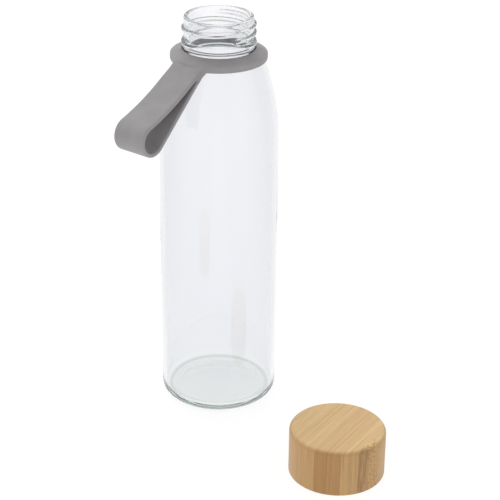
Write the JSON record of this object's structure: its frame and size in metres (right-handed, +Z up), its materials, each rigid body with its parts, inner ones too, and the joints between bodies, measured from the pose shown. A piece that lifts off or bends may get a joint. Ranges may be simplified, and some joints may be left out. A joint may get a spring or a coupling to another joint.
{
  "type": "glass water bottle",
  "caption": "Slender round glass water bottle with a soft carrying strap round its neck and a bamboo screw lid lying beside it.",
  "frame": {"origin": "centre of the bottle's foot, on the plane that the bottle stands on", "axes": "+Z up along the bottle's axis, out of its mouth; -X the way the strap's loop points; the loose lid lies on the -Y side"},
  "size_m": [0.1045, 0.1632, 0.2243],
  "materials": {
    "glass": "clear, polished",
    "silicone": "matte moulded silicone",
    "bamboo": "turned, lightly oiled laminated bamboo",
    "insert": "moulded polypropylene",
    "seal": "satin silicone"
  },
  "bodies": {
    "bottle": {"glass_bottle": "glass"},
    "collar": {"strap_collar": "silicone"},
    "loop": {"strap_loop": "silicone"},
    "seal": {"lid_seal": "seal"},
    "lid": {"bamboo_lid": "bamboo", "thread_insert": "insert"}
  },
  "joints": [
    {"name": "collar_turn", "type": "hinge", "parent": "bottle", "child": "collar", "pos_m": [0, 0, 0.2], "axis": [0, 0, 1], "continuous": true},
    {"name": "loop_flex", "type": "hinge", "parent": "collar", "child": "loop", "pos_m": [-0.0291, 0, 0.19825], "axis": [0, 1, 0], "range_deg": [-25, 110], "stiffness_Nm_per_rad": 0.04, "springref_deg": 1.72},
    {"name": "lid_lift", "type": "slide", "parent": "bottle", "child": "seal", "axis": [0, 0, 1], "range_m": [0, 0.26]},
    {"name": "lid_turn", "type": "hinge", "parent": "seal", "child": "lid", "pos_m": [-0.0281, -0.105, 0.017], "axis": [0, 0, 1], "continuous": true}
  ]
}
